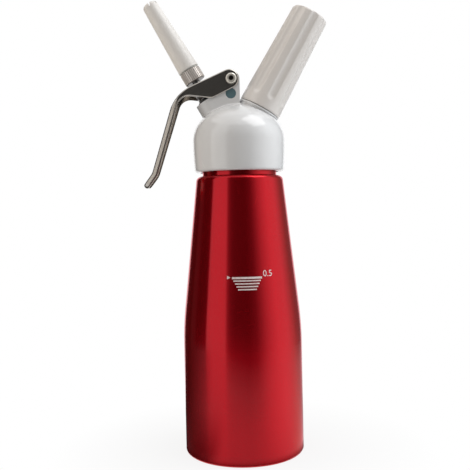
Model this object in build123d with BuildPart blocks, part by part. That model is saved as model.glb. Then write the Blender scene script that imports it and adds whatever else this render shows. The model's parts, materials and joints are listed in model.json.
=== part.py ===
from build123d import *

import os
from math import atan2, cos, degrees, isclose, radians, sin, sqrt, tan

# Whipped cream dispenser: an aluminium bottle, a screwed plastic head, a lever that pushes the
# valve stem in against a spring, a nozzle on the stem, and a gas charger in its screwed holder.
# Millimetres. The origin is the centre of the base, +Z up. The nozzle leans towards -X and the
# charger holder towards +X, so the lever lies in the XZ plane.

# ---- driving sizes -------------------------------------------------------------------------

# Clearances
running_clearance = 0.05       # a shaft in the hole that it turns or slides in, on the radius
moving_clearance = 0.3         # between faces that move past each other
seat_gap = 0.1                 # between a soft seal and the face that it closes on
fitted_clearance = 0.02        # between pieces that are pressed or screwed together for good
thread_clearance = 0.3         # between the crests of two threads that screw together
overcut = 1.0                  # that a cut runs past the face that it opens

# Threads
thread_crest = 0.8             # width of each ring's crest
thread_flank = 0.6             # how far a flank runs back for each unit of the thread's depth

# Bottle
bottle_radius = 40.0
bottle_wall = 1.5
foot_corner = 2.0
foot_ring_radius = 33.0        # the dished part of the base starts here
base_dish = 3.0
cone_start_height = 85.2
cone_blend = 220.0
shoulder_height = 185.4
shoulder_radius = 29.05        # where the cone would meet the shoulder's plane
shoulder_corner = 3.2
neck_radius = 24.9             # crest of the neck's thread, and the plain collar under it
neck_thread_depth = 0.8
neck_wall = 2.0
neck_collar_height = 3.2
neck_height = 14.2
neck_pitch = 3.6
rim_rounding = 0.6

# Head
head_lift = 2.7                # the gap between the shoulder and the head
head_bottom_radius = 29.9
head_radius = 30.9
head_corner = 2.0
gasket_thickness = 2.2
gasket_width = 3.4
dome_base_rise = 7.0           # from the gasket's seat to the dome's widest height
dome_rise = 25.0
dome_corner = 21.0             # the dome's smaller radius, round its foot
head_blend = 1.6               # where the boss and the lug meet the dome
cavity_radius = 21.2
cavity_wall_height = 4.8       # the upright part of the cavity's wall, over the gasket's seat

# Valve
valve_travel = 3.0             # that the lever pushes the stem in
valve_lean = -30.0             # of the valve's axis from +Z, towards +X
valve_drop = 8.0               # the axis crosses the bottle's this far below the dome's base
boss_top = 40.9                # along the valve's axis from that crossing
boss_radius = 8.7
bush_flange_radius = 6.2
bush_flange_thickness = 1.2
bush_radius = 5.0
bush_length = 15.0
o_ring_wire = 0.35
stem_radius = 3.0
stem_neck_radius = 2.5
stem_tail_radius = 2.2
stem_flow_radius = 1.4
cross_hole_radius = 1.1
collar_radius = 5.6
collar_thickness = 1.8
collar_crown = 0.7
stem_thread_length = 5.0
chamber_radius = 4.2
valve_tube_radius = 7.2
valve_seat = 12.0              # along the valve's axis
valve_seal_radius = 5.8
valve_seal_thickness = 2.0
seal_flange_width = 0.8        # of the stem's flange over its seal
seal_flange_thickness = 1.1
valve_screw_head_radius = 3.4
valve_screw_head_height = 1.7
valve_screw_radius = 1.2
valve_screw_length = 5.0
valve_screw_slot = 0.8
spring_wire = 1.0
spring_radius = 4.9
spring_turns = 3.0

# Nozzle and its adapter
ring_gap = 2.8                 # between the lever and the adapter's knurled ring
ring_radius = 7.15
ring_height = 8.4
ring_chamfer = 0.5
knurl_count = 32
knurl_radius = 0.35
knurl_depth = 0.25
adapter_lead = 0.8             # the plain stretch between the ring and the thread
adapter_thread_radius = 4.9
adapter_thread_length = 6.5
adapter_thread_depth = 0.5
adapter_pitch = 1.6
washer_thickness = 0.8
washer_setback = 0.5           # of the washer's edge inside the nozzle's
nozzle_base_radius = 7.2
nozzle_tip_radius = 5.35
nozzle_length = 52.2
nozzle_wall = 1.7
socket_ledge = 0.8             # between the nozzle's socket and its bore
nozzle_outlet_radius = 2.0
nozzle_tip_rise = 3.2
nozzle_tip_corner = 2.4
star_slots = 6
star_slot_width = 1.1
star_slot_length = 3.4

# Lever
pivot_offset = 20.6            # of the pivot from the valve's axis
pivot_rise = 3.2               # of the pivot above the boss's top, along that axis
rest_lean = 6.3                # of the lever's web from square to the valve
sheet = 1.2
ear_radius = 6.5
ear_setback = 1.3              # of the ear's centre from the pivot, towards the handle
ear_rise = 0.5
cheek_turn = 17.0              # where the cheek's lower edge turns up, from the pivot
cheek_depth = 6.4              # of that corner under the pivot
handle_turn = 37.9             # where the web turns down into the handle
handle_bend = 48.7             # angle of that turn
handle_bend_radius = 27.0
handle_length = 55.0
handle_depth = 3.7             # seen from the side
handle_tip_width = 13.5
inner_bend_radius = 8.0
handle_tip_corner = 5.0
flare_angle = 19.5
flare_length = 10.5
flare_radius = 10.0
lever_edge_radius = 1.1
slot_clearance = 0.6           # round the stem's neck where it passes the web

# Lug and pivot
lug_edge = 5.5                 # radius of the lug round the pivot
barrel_radius = 2.5
pivot_screw_radius = 1.5
pivot_screw_length = 14.0
pivot_head_radius = 3.6
pivot_head_height = 2.0
socket_radius = 1.5
socket_depth = 1.2
plug_radius = 3.4
plug_drop = 9.5                # of the side plug below the pivot
plug_shift = 0.4
plug_chamfer = 0.3

# Charger port
port_lean = 29.5               # of the port's axis from +Z, towards +X
port_drop = 4.0
pad_radius = 13.7
pad_top = 27.9                 # along the port's axis from its crossing
rim_radius = 14.5
rim_thickness = 1.0
spigot_radius = 10.6
spigot_length = 12.4
spigot_thread_depth = 0.7
port_bore_radius = 4.8
seal_thickness = 1.2
insert_radius = 3.6
insert_length = 8.8
insert_setback = 1.0           # of the insert from the foot of its bore
port_tube_radius = 6.8
port_tube_end = 16.7
pin_radius = 0.9
pin_bore_radius = 0.4
pin_reach = 1.2                # into the charger
vent_radius = 0.6
vent_circle = 2.6
vent_count = 4
check_valve_radius = 4.2
check_valve_thickness = 1.1
check_valve_stem_radius = 1.1

# Charger and holder
charger_radius = 9.0
charger_length = 65.8
charger_neck_radius = 4.4
charger_neck_length = 9.4
charger_shoulder = 9.0
charger_wall = 1.1
charger_end_rise = 6.8
charger_end_corner = 5.0
charger_mouth_rounding = 0.6
pierced_radius = 1.2
holder_gap = 0.5               # between the port's rim and the holder
holder_foot_radius = 14.6
holder_top_radius = 12.6
holder_length = 71.6
holder_top_wall = 2.6
holder_pitch = 2.5
holder_edge = 0.9
flute_count = 8
flute_start = 7.0              # above the holder's foot
flute_radius = 6.0
flute_depth = 0.9
flute_turn = 14.0              # of the first flute from the front

# ---- sizes that follow ---------------------------------------------------------------------

head_bottom = shoulder_height + head_lift
neck_top = shoulder_height + neck_height
thread_start = shoulder_height + neck_collar_height
neck_root_radius = neck_radius - neck_thread_depth
mouth_radius = neck_root_radius - neck_wall
gasket_seat = neck_top + gasket_thickness + 2 * seat_gap
dome_base = gasket_seat + dome_base_rise
head_bore_radius = neck_radius + thread_clearance + neck_thread_depth

cavity_spring = gasket_seat + cavity_wall_height
cavity_roof = cavity_spring + cavity_radius

valve_height = dome_base - valve_drop
port_height = dome_base - port_drop

pivot_along = boss_top + pivot_rise
web_outside = ear_rise + ear_radius
web_inside = web_outside - sheet
lever_lean = radians(rest_lean)
web_foot = pivot_along + web_inside / cos(lever_lean) + pivot_offset * tan(lever_lean)
web_head = pivot_along + web_outside / cos(lever_lean) + pivot_offset * tan(lever_lean)
bush_top = boss_top + bush_flange_thickness
collar_top = web_foot - moving_clearance
collar_foot = collar_top - collar_thickness
ring_foot = web_head + ring_gap
ring_top = ring_foot + ring_height
nozzle_foot = ring_top + washer_thickness + 2 * fitted_clearance
nozzle_top = nozzle_foot + nozzle_length
tail_foot = valve_seat - seat_gap - valve_seal_thickness

cheek_gap = boss_radius + moving_clearance
lever_half_width = cheek_gap + sheet

rim_top = pad_top + rim_thickness
spigot_top = rim_top + spigot_length
holder_foot = rim_top + holder_gap
holder_top = holder_foot + holder_length
charger_top = holder_top - holder_top_wall - moving_clearance
charger_foot = charger_top - charger_length
port_seal_foot = charger_foot - moving_clearance - seal_thickness
insert_foot = port_seal_foot - insert_length
holder_thread_radius = spigot_radius + thread_clearance + spigot_thread_depth


# ---- helpers -------------------------------------------------------------------------------

def axis_of(height, lean):
    """The axis that crosses the bottle's at a height and leans towards +X by an angle."""
    return Axis((0, 0, height), (sin(radians(lean)), 0, cos(radians(lean))))


def half_section(height, lean):
    """The plane of a turned piece's half-section: x is its radius and y runs along its axis."""
    across = (cos(radians(lean)), 0, -sin(radians(lean)))
    return Plane(origin=(0, 0, height), x_dir=across, z_dir=(0, -1, 0))


def square_to(height, lean, distance):
    """The plane square to such an axis, at a distance along it."""
    along = Vector(sin(radians(lean)), 0, cos(radians(lean)))
    return Plane(origin=Vector(0, 0, height) + along * distance, x_dir=(0, 1, 0), z_dir=along)


def band(inner, outer, low, high, mode=Mode.ADD):
    """A step of a turned piece, in the half-section that is open."""
    with Locations((inner, low)):
        Rectangle(outer - inner, high - low, align=(Align.MIN, Align.MIN), mode=mode)


def thread_rings(root, crest, low, high, pitch, mode=Mode.ADD):
    """A thread between two heights, as plain rings, in the half-section that is open."""
    half_crest = thread_crest / 2
    half_foot = half_crest + thread_flank * abs(crest - root)
    buried = root - (crest - root) / 5
    count = int((high - low) / pitch)
    for ring in range(count):
        with Locations((0, low + pitch * (ring + 0.5))):
            Polygon(
                (buried, -half_foot),
                (crest, -half_crest),
                (crest, half_crest),
                (buried, half_foot),
                align=None,
                mode=mode,
            )


def dome_arcs(foot, radius, rise, corner):
    """The half-outline of a dome that ends on the axis: a corner arc and the crown arc it meets."""
    crown = ((radius - corner) ** 2 + rise**2 - corner**2) / (2 * (rise - corner))
    turn = degrees(atan2(crown - rise, radius - corner))
    CenterArc((radius - corner, foot), corner, 0, turn)
    CenterArc((0, foot + rise - crown), crown, turn, 90 - turn)


def nearest(point):
    """The corner of the open sketch nearest to a point."""
    return vertices().sort_by_distance(point)[0]


def finish(piece, name):
    """Name a finished piece and write it as a STEP file."""
    piece.part.label = name
    export_step(piece.part, f"parts/{name}.step")


os.makedirs("parts", exist_ok=True)

bottle_axis = Axis.Z
valve_axis = axis_of(valve_height, valve_lean)
port_axis = axis_of(port_height, port_lean)
upright_section = Plane.XZ
valve_section = half_section(valve_height, valve_lean)
port_section = half_section(port_height, port_lean)

# ---- bottle --------------------------------------------------------------------------------

dish_radius = (foot_ring_radius**2 + base_dish**2) / (2 * base_dish)
cone_slope = (bottle_radius - shoulder_radius) / (shoulder_height - cone_start_height)

with BuildPart() as bottle:
    with BuildSketch(upright_section):
        with BuildLine():
            Polyline(
                (0, 0),
                (bottle_radius, 0),
                (bottle_radius, cone_start_height),
                (shoulder_radius, shoulder_height),
                (0, shoulder_height),
                close=True,
            )
        make_face()
        fillet(nearest((bottle_radius, 0)), foot_corner)
        fillet(nearest((bottle_radius, cone_start_height)), cone_blend)
        fillet(nearest((shoulder_radius, shoulder_height)), shoulder_corner)
        band(0, neck_radius, shoulder_height - bottle_wall, thread_start)
        band(0, neck_root_radius, thread_start, neck_top)
        thread_rings(neck_root_radius, neck_radius, thread_start, neck_top, neck_pitch)
        with Locations((0, base_dish - dish_radius)):
            Circle(dish_radius, mode=Mode.SUBTRACT)
    revolve(axis=bottle_axis)
    with BuildSketch(upright_section):
        with BuildLine():
            inner_radius = bottle_radius - bottle_wall
            inner_shoulder_height = shoulder_height - bottle_wall
            inner_shoulder_radius = shoulder_radius - bottle_wall + cone_slope * bottle_wall
            Polyline(
                (0, bottle_wall),
                (inner_radius, bottle_wall),
                (inner_radius, cone_start_height),
                (inner_shoulder_radius, inner_shoulder_height),
                (0, inner_shoulder_height),
                close=True,
            )
        make_face()
        fillet(nearest((inner_radius, bottle_wall)), foot_corner)
        fillet(nearest((inner_radius, cone_start_height)), cone_blend)
        fillet(
            nearest((inner_shoulder_radius, inner_shoulder_height)),
            shoulder_corner - bottle_wall,
        )
        with Locations((0, base_dish - dish_radius)):
            Circle(dish_radius + bottle_wall, mode=Mode.SUBTRACT)
        band(0, mouth_radius, inner_shoulder_height - bottle_wall, neck_top)
    revolve(axis=bottle_axis, mode=Mode.SUBTRACT)
    rim = edges().filter_by(GeomType.CIRCLE).group_by(Axis.Z)[-1]
    fillet(rim, rim_rounding)
finish(bottle, "bottle")

# ---- head ----------------------------------------------------------------------------------

# The seal between the bottle's rim and the head.
with BuildPart() as head_gasket:
    with BuildSketch(upright_section):
        gasket_radius = neck_root_radius + gasket_width / 2 - neck_wall / 2
        band(
            gasket_radius - gasket_width,
            gasket_radius,
            neck_top + seat_gap,
            neck_top + seat_gap + gasket_thickness,
        )
    revolve(axis=bottle_axis)
    fillet(edges(), gasket_thickness / 6)
finish(head_gasket, "head_gasket")

# Where the lever's pivot stands, across and along the valve's axis.
pivot = valve_section.from_local_coords(Vector(pivot_offset, pivot_along, 0))
lug_side = pivot.X + lug_edge
plug_place = (pivot.X - plug_shift, pivot.Z - plug_drop)

with BuildPart() as head:
    # The dome and the collar that covers the bottle's thread.
    with BuildSketch(upright_section):
        with BuildLine():
            Line((0, head_bottom), (head_bottom_radius, head_bottom))
            TangentArc(
                (head_radius, dome_base),
                (head_bottom_radius, head_bottom),
                tangent=(0, -1),
            )
            dome_arcs(dome_base, head_radius, dome_rise, dome_corner)
            Line((0, dome_base + dome_rise), (0, head_bottom))
        make_face()
        lowest = vertices().filter_by(lambda v: v.X > neck_radius).sort_by(Axis.Y)[0]
        fillet(lowest, head_corner)
    revolve(axis=bottle_axis)

    # The boss round the valve and the lug that carries the lever.
    with BuildSketch(square_to(valve_height, valve_lean, valve_seat)):
        Circle(boss_radius)
    extrude(amount=boss_top - valve_seat)
    with BuildSketch(valve_section):
        with BuildLine():
            ear = CenterArc((pivot_offset, pivot_along), lug_edge, valve_lean, 180 - valve_lean)
            Line(ear @ 1, (pivot_offset - lug_edge, boss_top))
            Line((pivot_offset - lug_edge, boss_top), (0, boss_top))
            Line((0, boss_top), (0, valve_seat))
            lug_foot = valve_section.to_local_coords(Vector(lug_side, 0, dome_base))
            Line((0, valve_seat), (lug_foot.X, lug_foot.Y))
            Line((lug_foot.X, lug_foot.Y), ear @ 0)
        make_face()
    extrude(amount=boss_radius, both=True)
    fillet(edges(Select.NEW) + edges().filter_by(GeomType.BSPLINE), head_blend)

    # The pad and the rim that the charger holder is screwed down on, and its threaded spigot.
    with BuildSketch(port_section):
        band(0, pad_radius, port_tube_end, pad_top)
        band(0, rim_radius, pad_top, rim_top)
        band(0, spigot_radius - spigot_thread_depth, rim_top, spigot_top)
        thread_rings(
            spigot_radius - spigot_thread_depth, spigot_radius, rim_top, spigot_top, holder_pitch
        )
    revolve(axis=port_axis)

    # The thread that takes the bottle's neck, the gasket's seat and the cavity over it.
    with BuildSketch(upright_section):
        band(0, head_bore_radius, head_bottom, neck_top)
        band(0, neck_radius + thread_clearance, neck_top, gasket_seat)
        thread_rings(
            head_bore_radius,
            neck_radius + thread_clearance,
            thread_start + neck_pitch / 2,
            neck_top - neck_pitch / 2,
            neck_pitch,
            mode=Mode.SUBTRACT,
        )
        with BuildLine():
            Polyline(
                (0, gasket_seat),
                (cavity_radius, gasket_seat),
                (cavity_radius, cavity_spring),
            )
            CenterArc((0, cavity_spring), cavity_radius, 0, 90)
            Line((0, cavity_roof), (0, gasket_seat))
        make_face()
    revolve(axis=bottle_axis, mode=Mode.SUBTRACT)

    # The tubes that carry the valve and the charger port into the cavity.
    with BuildSketch(square_to(valve_height, valve_lean, valve_seat)):
        Circle(valve_tube_radius)
    extrude(amount=boss_top - valve_seat)
    with BuildSketch(square_to(port_height, port_lean, port_tube_end)):
        Circle(port_tube_radius)
    extrude(amount=pad_top - port_tube_end)

    # Their bores.
    bush_foot = boss_top - bush_length
    with BuildSketch(valve_section):
        band(0, chamber_radius, valve_seat, bush_foot)
        band(0, bush_radius + fitted_clearance, bush_foot, boss_top)
    revolve(axis=valve_axis, mode=Mode.SUBTRACT)
    with BuildSketch(port_section):
        band(0, insert_radius + fitted_clearance, insert_foot, port_seal_foot)
        band(0, port_bore_radius, port_seal_foot, spigot_top)
        band(0, check_valve_stem_radius + fitted_clearance, port_tube_end, insert_foot)
    revolve(axis=port_axis, mode=Mode.SUBTRACT)
    with BuildSketch(square_to(port_height, port_lean, port_tube_end)):
        with PolarLocations(vent_circle, vent_count):
            Circle(vent_radius)
    extrude(amount=insert_foot - port_tube_end, mode=Mode.SUBTRACT)

    # The holes across the lug, for the pivot and for the side plug.
    with BuildSketch(upright_section):
        with Locations((pivot.X, pivot.Z)):
            Circle(barrel_radius + fitted_clearance)
        with Locations(plug_place):
            Circle(plug_radius + fitted_clearance)
    extrude(amount=boss_radius, both=True, mode=Mode.SUBTRACT)
finish(head, "head")

# ---- pivot and side plug -------------------------------------------------------------------

# The pivot's barrel nut comes through from the far cheek, and the screw closes it on the near one.
washer_face = lever_half_width + moving_clearance
barrel_length = 2 * washer_face
far_side = Plane(origin=(pivot.X, washer_face, pivot.Z), x_dir=(1, 0, 0), z_dir=(0, -1, 0))
near_side = Plane(origin=(pivot.X, -washer_face, pivot.Z), x_dir=(1, 0, 0), z_dir=(0, 1, 0))

with BuildPart() as pivot_nut:
    with BuildSketch(far_side):
        Circle(barrel_radius)
    extrude(amount=barrel_length)
    with BuildSketch(far_side):
        Circle(pivot_head_radius)
    extrude(amount=-pivot_head_height)
    fillet(edges().group_by(Axis.Y)[-1], pivot_head_height * 0.6)
    with BuildSketch(near_side):
        Circle(pivot_screw_radius + fitted_clearance)
    extrude(amount=pivot_screw_length + overcut, mode=Mode.SUBTRACT)
    with BuildSketch(far_side.offset(-pivot_head_height)):
        RegularPolygon(socket_radius, 6)
    extrude(amount=socket_depth, mode=Mode.SUBTRACT)
finish(pivot_nut, "pivot_nut")

with BuildPart() as pivot_screw:
    with BuildSketch(near_side):
        Circle(pivot_head_radius)
    extrude(amount=-pivot_head_height)
    fillet(edges().group_by(Axis.Y)[0], pivot_head_height * 0.6)
    with BuildSketch(near_side):
        Circle(pivot_screw_radius)
    extrude(amount=pivot_screw_length)
    with BuildSketch(near_side.offset(-pivot_head_height)):
        RegularPolygon(socket_radius, 6)
    extrude(amount=socket_depth, mode=Mode.SUBTRACT)
finish(pivot_screw, "pivot_screw")

with BuildPart() as side_plug:
    with BuildSketch(upright_section):
        with Locations(plug_place):
            Circle(plug_radius)
    extrude(amount=boss_radius, both=True)
    chamfer(edges().filter_by(GeomType.CIRCLE), plug_chamfer)
finish(side_plug, "side_plug")

# ---- valve ---------------------------------------------------------------------------------

# The bush that guides the stem in the boss. Its flange is the spring's foot.
with BuildPart() as valve_bush:
    groove_middle = boss_top - bush_length / 2
    with BuildSketch(valve_section):
        band(stem_radius + running_clearance, bush_radius, bush_foot, boss_top)
        band(stem_radius + running_clearance, bush_flange_radius, boss_top, bush_top)
        band(
            bush_radius - 2 * o_ring_wire,
            bush_radius + overcut,
            groove_middle - 1.5 * o_ring_wire,
            groove_middle + 1.5 * o_ring_wire,
            mode=Mode.SUBTRACT,
        )
    revolve(axis=valve_axis)
finish(valve_bush, "valve_bush")

with BuildPart() as bush_o_ring:
    with BuildSketch(valve_section):
        with Locations((bush_radius - o_ring_wire, groove_middle)):
            Circle(o_ring_wire)
    revolve(axis=valve_axis)
finish(bush_o_ring, "bush_o_ring")

# The hollow stem: cream comes in at the cross holes and goes up the bore to the nozzle.
with BuildPart() as valve_stem:
    stem_top = ring_foot + stem_thread_length
    cross_hole = valve_seat + valve_screw_length + 2 * cross_hole_radius
    stem_groove = bush_foot + bush_length / 3
    with BuildSketch(valve_section):
        band(0, stem_tail_radius, tail_foot, bush_foot)
        band(
            0,
            stem_tail_radius + seal_flange_width,
            valve_seat - seat_gap,
            valve_seat - seat_gap + seal_flange_thickness,
        )
        band(0, stem_radius, bush_foot - valve_travel, collar_foot)
        with BuildLine():
            Polyline(
                (0, collar_foot),
                (collar_radius, collar_foot),
                (collar_radius, collar_top - collar_crown),
                (stem_neck_radius, collar_top),
                (0, collar_top),
                close=True,
            )
        make_face()
        band(0, stem_neck_radius, collar_foot, ring_foot)
        band(0, stem_tail_radius, ring_foot, stem_top)
        band(
            stem_radius - 2 * o_ring_wire,
            stem_radius + overcut,
            stem_groove - 1.5 * o_ring_wire,
            stem_groove + 1.5 * o_ring_wire,
            mode=Mode.SUBTRACT,
        )
        band(0, stem_flow_radius, cross_hole, stem_top, mode=Mode.SUBTRACT)
        screw_bore = valve_screw_radius + fitted_clearance
        band(0, screw_bore, tail_foot, tail_foot + valve_screw_length, mode=Mode.SUBTRACT)
    revolve(axis=valve_axis)
    with BuildSketch(square_to(valve_height, valve_lean, cross_hole).rotated((90, 0, 0))):
        Circle(cross_hole_radius)
    extrude(amount=stem_radius + overcut, both=True, mode=Mode.SUBTRACT)
finish(valve_stem, "valve_stem")

with BuildPart() as stem_o_ring:
    with BuildSketch(valve_section):
        with Locations((stem_radius - o_ring_wire, stem_groove)):
            Circle(o_ring_wire)
    revolve(axis=valve_axis)
finish(stem_o_ring, "stem_o_ring")

with BuildPart() as valve_seal:
    with BuildSketch(valve_section):
        band(
            stem_tail_radius + fitted_clearance,
            valve_seal_radius,
            tail_foot,
            tail_foot + valve_seal_thickness,
        )
    revolve(axis=valve_axis)
finish(valve_seal, "valve_seal")

with BuildPart() as valve_screw:
    with BuildSketch(valve_section):
        screw_end = tail_foot + valve_screw_length - moving_clearance
        band(0, valve_screw_radius, tail_foot, screw_end)
        band(0, valve_screw_head_radius, tail_foot - valve_screw_head_height, tail_foot)
    revolve(axis=valve_axis)
    head_face = tail_foot - valve_screw_head_height
    with BuildSketch(square_to(valve_height, valve_lean, head_face)):
        Rectangle(2 * valve_screw_head_radius + overcut, valve_screw_slot)
    extrude(amount=valve_screw_slot, mode=Mode.SUBTRACT)
finish(valve_screw, "valve_screw")

# The spring between the bush's flange and the stem's collar.
with BuildPart() as return_spring:
    spring_foot = bush_top + seat_gap + spring_wire / 2
    spring_rise = collar_foot - seat_gap - spring_wire / 2 - spring_foot
    spring_base = square_to(valve_height, valve_lean, spring_foot)
    with BuildLine():
        coil = Helix(
            pitch=spring_rise / spring_turns,
            height=spring_rise,
            radius=spring_radius,
            center=spring_base.origin,
            direction=spring_base.z_dir,
        )
    with BuildSketch(Plane(origin=coil @ 0, z_dir=coil % 0)):
        Circle(spring_wire / 2)
    sweep(path=coil, is_frenet=True)
finish(return_spring, "return_spring")

# ---- nozzle and its adapter ----------------------------------------------------------------

with BuildPart() as nozzle_adapter:
    adapter_top = ring_top + adapter_thread_length
    with BuildSketch(valve_section):
        band(0, ring_radius, ring_foot, ring_top)
        adapter_root = adapter_thread_radius - adapter_thread_depth
        band(0, adapter_root, ring_top, adapter_top)
        thread_rings(
            adapter_root,
            adapter_thread_radius,
            ring_top + adapter_lead,
            adapter_top,
            adapter_pitch,
        )
        band(0, stem_tail_radius + fitted_clearance, ring_foot, stem_top, mode=Mode.SUBTRACT)
        band(0, stem_flow_radius, stem_top, adapter_top, mode=Mode.SUBTRACT)
    revolve(axis=valve_axis)
    ring_edges = edges().filter_by(GeomType.CIRCLE).filter_by(
        lambda e: isclose(e.radius, ring_radius)
    )
    chamfer(ring_edges, ring_chamfer)
    with BuildSketch(square_to(valve_height, valve_lean, ring_foot)):
        with PolarLocations(ring_radius + knurl_radius - knurl_depth, knurl_count):
            Circle(knurl_radius)
    extrude(amount=ring_height, mode=Mode.SUBTRACT)
finish(nozzle_adapter, "nozzle_adapter")

with BuildPart() as nozzle_washer:
    with BuildSketch(valve_section):
        band(
            adapter_thread_radius + 2 * seat_gap,
            nozzle_base_radius - washer_setback,
            ring_top + fitted_clearance,
            ring_top + fitted_clearance + washer_thickness,
        )
    revolve(axis=valve_axis)
finish(nozzle_washer, "nozzle_washer")

with BuildPart() as nozzle:
    socket_top = nozzle_foot + adapter_thread_length
    tip_foot = nozzle_top - nozzle_tip_rise
    with BuildSketch(valve_section):
        with BuildLine():
            Polyline((0, tip_foot), (0, nozzle_foot), (nozzle_base_radius, nozzle_foot))
            Line((nozzle_base_radius, nozzle_foot), (nozzle_tip_radius, tip_foot))
            dome_arcs(tip_foot, nozzle_tip_radius, nozzle_tip_rise, nozzle_tip_corner)
            Line((0, nozzle_top), (0, tip_foot))
        make_face()
        socket_bore = adapter_thread_radius + thread_clearance
        band(0, socket_bore, nozzle_foot, socket_top, mode=Mode.SUBTRACT)
        with BuildLine():
            Polyline(
                (0, socket_top),
                (socket_bore - socket_ledge, socket_top),
                (nozzle_tip_radius - nozzle_wall, tip_foot - nozzle_wall),
                (0, tip_foot - nozzle_wall),
                close=True,
            )
        make_face(mode=Mode.SUBTRACT)
        outlet_foot = tip_foot - nozzle_wall - overcut
        band(0, nozzle_outlet_radius, outlet_foot, nozzle_top, mode=Mode.SUBTRACT)
    revolve(axis=valve_axis)
    with BuildSketch(square_to(valve_height, valve_lean, nozzle_top)):
        slot_reach = nozzle_tip_radius + overcut
        with PolarLocations(slot_reach / 2, star_slots):
            Rectangle(slot_reach, star_slot_width)
    extrude(amount=-star_slot_length, mode=Mode.SUBTRACT)
finish(nozzle, "nozzle")

# ---- lever ---------------------------------------------------------------------------------

# A stamped channel: a web over two cheeks that run on into the shallow sides of the handle.
# In its side plane x runs from the pivot along the web and y is square to the web.
web_slope = radians(-valve_lean - rest_lean)
lever_side = Plane(
    origin=pivot, x_dir=(-cos(web_slope), 0, -sin(web_slope)), z_dir=(0, 1, 0)
)
bend = radians(handle_bend)
flare = radians(handle_bend - flare_angle)
half_bend = bend / 2
half_flare = (bend + flare) / 2


def down(angle, distance):
    """A step along a stretch of the lever that slopes down by an angle."""
    return Vector(cos(angle), -sin(angle)) * distance


def under(angle, distance):
    """A step square to such a stretch, towards its underside."""
    return Vector(-sin(angle), -cos(angle)) * distance


bend_corner = Vector(handle_turn, web_outside)
flare_corner = bend_corner + down(bend, handle_length)
tip_corner = flare_corner + down(flare, flare_length)
inner_bend = bend_corner + under(bend, handle_depth)
inner_flare = flare_corner + under(half_flare, handle_depth / cos(half_flare - flare))
inner_tip = tip_corner + under(flare, handle_depth)
cheek_corner = Vector(cheek_turn, -cheek_depth)
handle_plan = Plane(
    origin=lever_side.from_local_coords(bend_corner),
    x_dir=(0, 1, 0),
    z_dir=lever_side.x_dir * sin(bend) + lever_side.y_dir * cos(bend),
)
plan_reach = handle_length + flare_length + handle_depth
plan_tip = handle_length + flare_length * cos(bend - flare) + handle_depth * sin(bend - flare)


def plan_outline(inset):
    """The lever seen square to its handle: parallel over the cheeks, then narrowing to the tip."""
    half = lever_half_width - inset
    half_tip = handle_tip_width / 2 - inset
    Polyline(
        (-half, -plan_reach),
        (half, -plan_reach),
        (half, handle_depth),
        (half_tip, plan_tip - inset),
        (-half_tip, plan_tip - inset),
        (-half, handle_depth),
        close=True,
    )


def stem_along_web(lean):
    """Where the stem's axis crosses the web, along it, when the web leans from square."""
    return (pivot_offset + (web_inside + web_outside) / 2 * sin(lean)) / cos(lean)


slot_end = stem_along_web(lever_lean)
slot_start = stem_along_web(lever_lean - valve_travel / pivot_offset)
slot_width = 2 * (stem_neck_radius + slot_clearance)

# The outside of the lever as a solid.
with BuildPart() as lever_blank:
    with BuildSketch(lever_side):
        with BuildLine():
            Polyline(
                (ear_setback, ear_rise - ear_radius),
                cheek_corner,
                inner_bend,
                inner_flare,
                inner_tip,
                tip_corner,
                flare_corner,
                bend_corner,
                (ear_setback, web_outside),
                close=True,
            )
        make_face()
        fillet(nearest(cheek_corner), inner_bend_radius)
        fillet(nearest(inner_bend), inner_bend_radius)
        fillet(nearest(inner_flare), flare_radius + handle_depth)
        fillet(nearest(flare_corner), flare_radius)
        fillet(nearest(bend_corner), handle_bend_radius)
        fillet([nearest(inner_tip), nearest(tip_corner)], handle_depth * 0.45)
        with Locations((ear_setback, ear_rise)):
            Circle(ear_radius)
    extrude(amount=lever_half_width, both=True)
    with BuildSketch(handle_plan):
        with BuildLine():
            plan_outline(0)
        make_face()
        fillet(vertices().group_by(Axis.Y)[-1], handle_tip_corner)
    extrude(amount=plan_reach, both=True, mode=Mode.INTERSECT)
    ear_and_top = faces().filter_by(
        lambda f: f.normal_at().dot(lever_side.y_dir) > 0.3
        or f.normal_at().dot(lever_side.x_dir) < -0.9
    )
    fillet(ear_and_top.edges().filter_by(lambda e: abs(e.center().Y) > sheet), lever_edge_radius)

# What is left open under the web and between the cheeks.
with BuildPart() as lever_hollow:
    inner_web = Vector(handle_turn, web_outside) + under(half_bend, sheet / cos(half_bend))
    inner_top = flare_corner + under(half_flare, sheet / cos(half_flare - flare))
    hollow_tip = tip_corner + under(flare, sheet) - down(flare, sheet)
    with BuildSketch(lever_side):
        with BuildLine():
            Polyline(
                (ear_setback, plan_reach),
                (ear_setback, web_inside),
                inner_web,
                inner_top,
                hollow_tip,
                hollow_tip + under(flare, plan_reach),
                (-plan_reach, -plan_reach),
                (-plan_reach, plan_reach),
                close=True,
            )
        make_face()
        fillet(nearest(inner_web), handle_bend_radius - sheet)
        fillet(nearest(inner_top), flare_radius + sheet)
    extrude(amount=cheek_gap, both=True)
    with BuildSketch(handle_plan):
        with BuildLine():
            plan_outline(sheet)
        make_face()
        fillet(vertices().group_by(Axis.Y)[-1], handle_tip_corner - sheet)
    extrude(amount=2 * plan_reach, both=True, mode=Mode.INTERSECT)

with BuildPart() as lever:
    add(lever_blank.part)
    add(lever_hollow.part, mode=Mode.SUBTRACT)
    with BuildSketch(lever_side):
        Circle(barrel_radius + running_clearance)
    extrude(amount=lever_half_width, both=True, mode=Mode.SUBTRACT)
    # The slot in the web for the stem's neck, long enough for the lever to tilt.
    with BuildSketch(Plane(lever_side.origin, lever_side.x_dir, lever_side.y_dir)):
        with Locations(((slot_start + slot_end) / 2, 0)):
            SlotOverall(slot_end - slot_start + slot_width, slot_width)
    extrude(amount=2 * web_outside, mode=Mode.SUBTRACT)
finish(lever, "lever")

# ---- charger port --------------------------------------------------------------------------

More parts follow.
